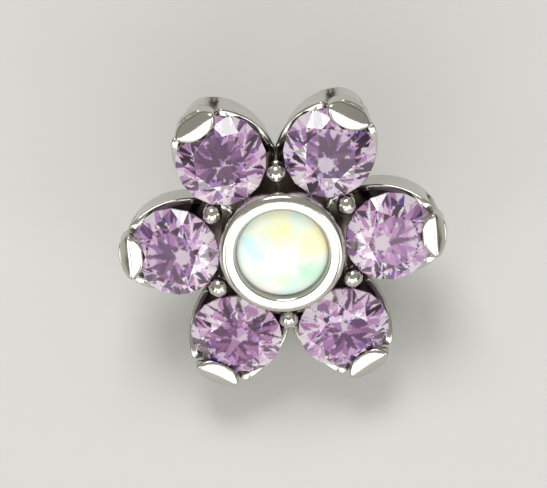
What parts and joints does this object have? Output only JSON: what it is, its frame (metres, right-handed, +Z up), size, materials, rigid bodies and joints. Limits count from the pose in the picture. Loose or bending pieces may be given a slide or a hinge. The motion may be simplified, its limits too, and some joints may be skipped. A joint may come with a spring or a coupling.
{
  "type": "dermal anchor top",
  "caption": "Flower-shaped screw-in end for a skin anchor: round faceted stones as petals in a polished metal setting around a raised bezel with a domed opal, on a plain hidden post.",
  "frame": {"origin": "on the table, under the middle of the part's box, as it lies at rest", "axes": "+Z up from the table; +X from the left petal's tip to the right petal's tip; -Y is the way the flower faces as it leans; the post runs from the flower's underside towards +Y and down to the table"},
  "size_m": [0.0072, 0.0056, 0.0053],
  "materials": {
    "polished_metal": "mirror-polished titanium",
    "post_metal": "turned titanium",
    "opal": "polished white opal with a soft play of colour",
    "lavender_stone": "clear lavender cubic zirconia, polished facets"
  },
  "bodies": {
    "root": {"flower_setting": "polished_metal", "mounting_post": "post_metal", "opal_cabochon": "opal", "petal_stone_1": "lavender_stone", "petal_stone_2": "lavender_stone", "petal_stone_3": "lavender_stone", "petal_stone_4": "lavender_stone", "petal_stone_5": "lavender_stone", "petal_stone_6": "lavender_stone"}
  },
  "joints": []
}
